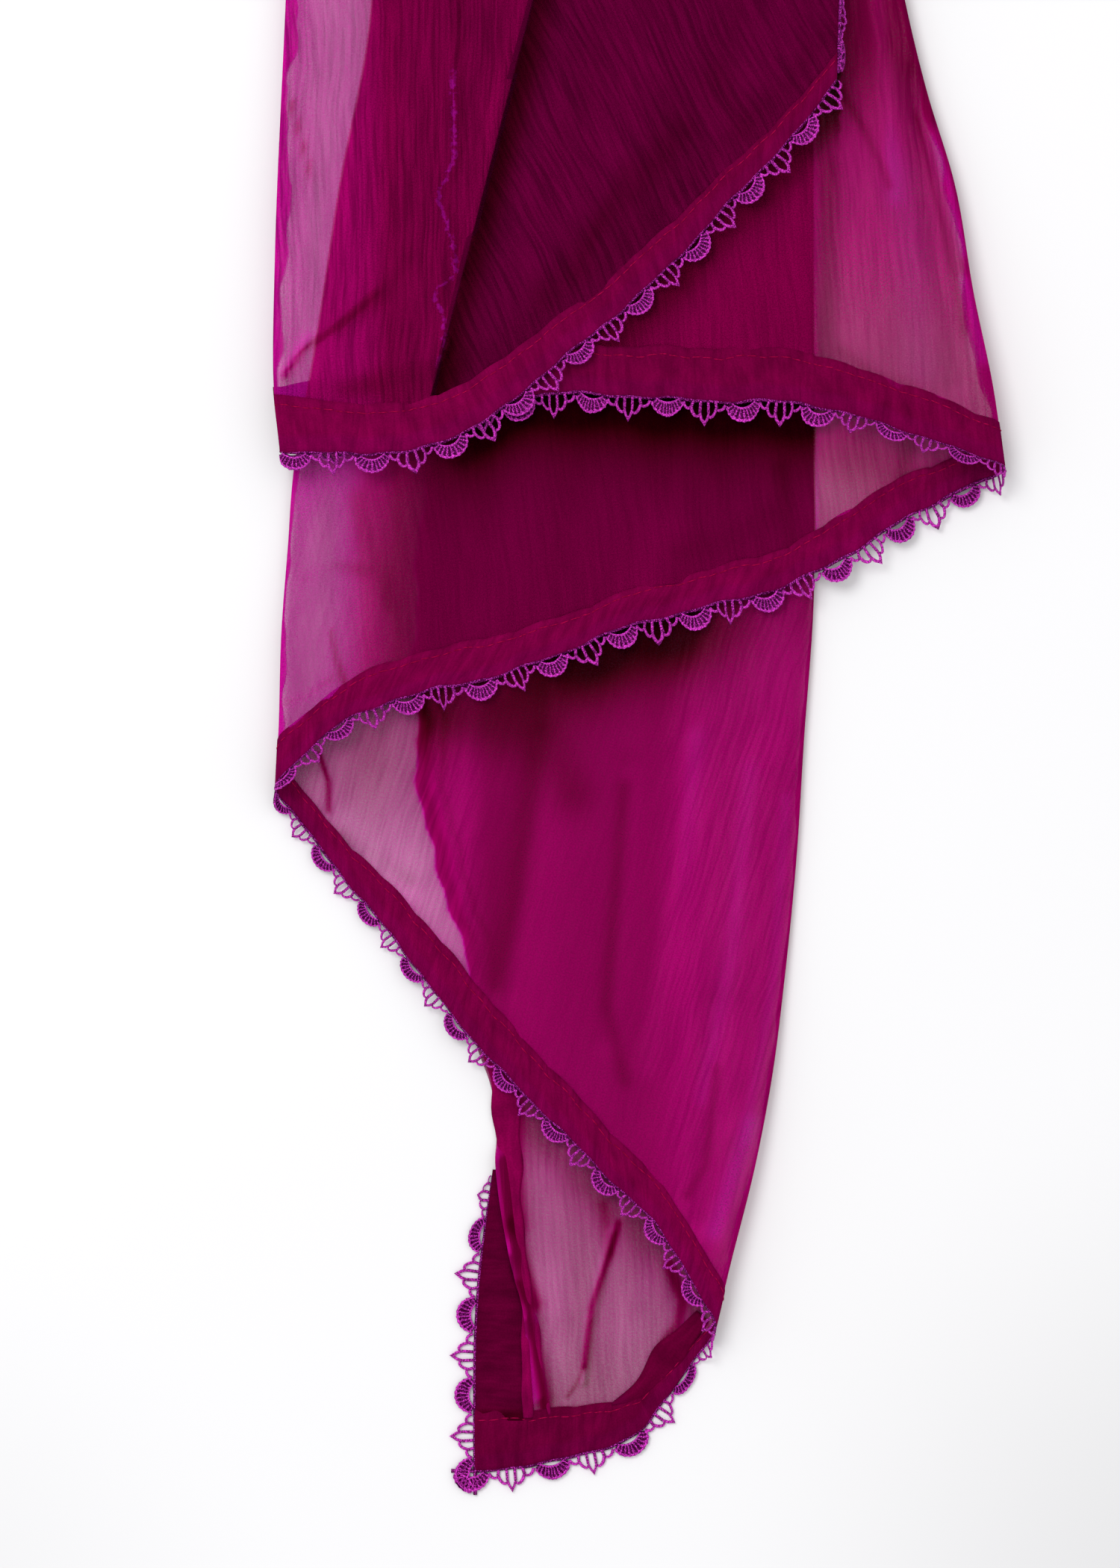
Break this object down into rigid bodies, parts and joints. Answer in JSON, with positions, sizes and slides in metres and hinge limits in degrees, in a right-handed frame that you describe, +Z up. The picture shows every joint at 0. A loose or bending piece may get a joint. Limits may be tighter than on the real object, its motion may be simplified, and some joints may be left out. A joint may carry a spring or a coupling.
{
  "type": "dupatta stole",
  "caption": "Sheer crinkled chiffon dupatta stole laid flat in accordion folds, its fanned end showing a stitched hem and scalloped lace trim.",
  "frame": {"origin": "on the surface it lies on, under the middle of its bounding box", "axes": "+Y along the folds from the fanned end to the far end, +X across the folds to the picture's right, +Z up from the surface"},
  "size_m": [0.2452, 2.2546, 0.021],
  "materials": {
    "chiffon": "sheer magenta crinkled chiffon, matt, darker where it lies in layers",
    "border": "self-fabric hem in two thicknesses with one line of crimson stitches",
    "lace": "violet threads with a soft sheen, solid fans and open bars"
  },
  "bodies": {
    "root": {"front_fall": "chiffon", "second_fall": "chiffon", "third_fall": "chiffon", "fourth_fall": "chiffon", "lower_fall": "chiffon", "rear_bundle": "chiffon", "front_hem": "border", "second_hem": "border", "third_hem": "border", "fourth_hem": "border", "lower_hem": "border", "side_hem": "border", "far_hem": "border", "front_lace": "lace", "second_lace": "lace", "third_lace": "lace", "fourth_lace": "lace", "lower_lace": "lace", "side_lace": "lace", "front_side_lace": "lace", "far_lace": "lace"}
  },
  "joints": []
}
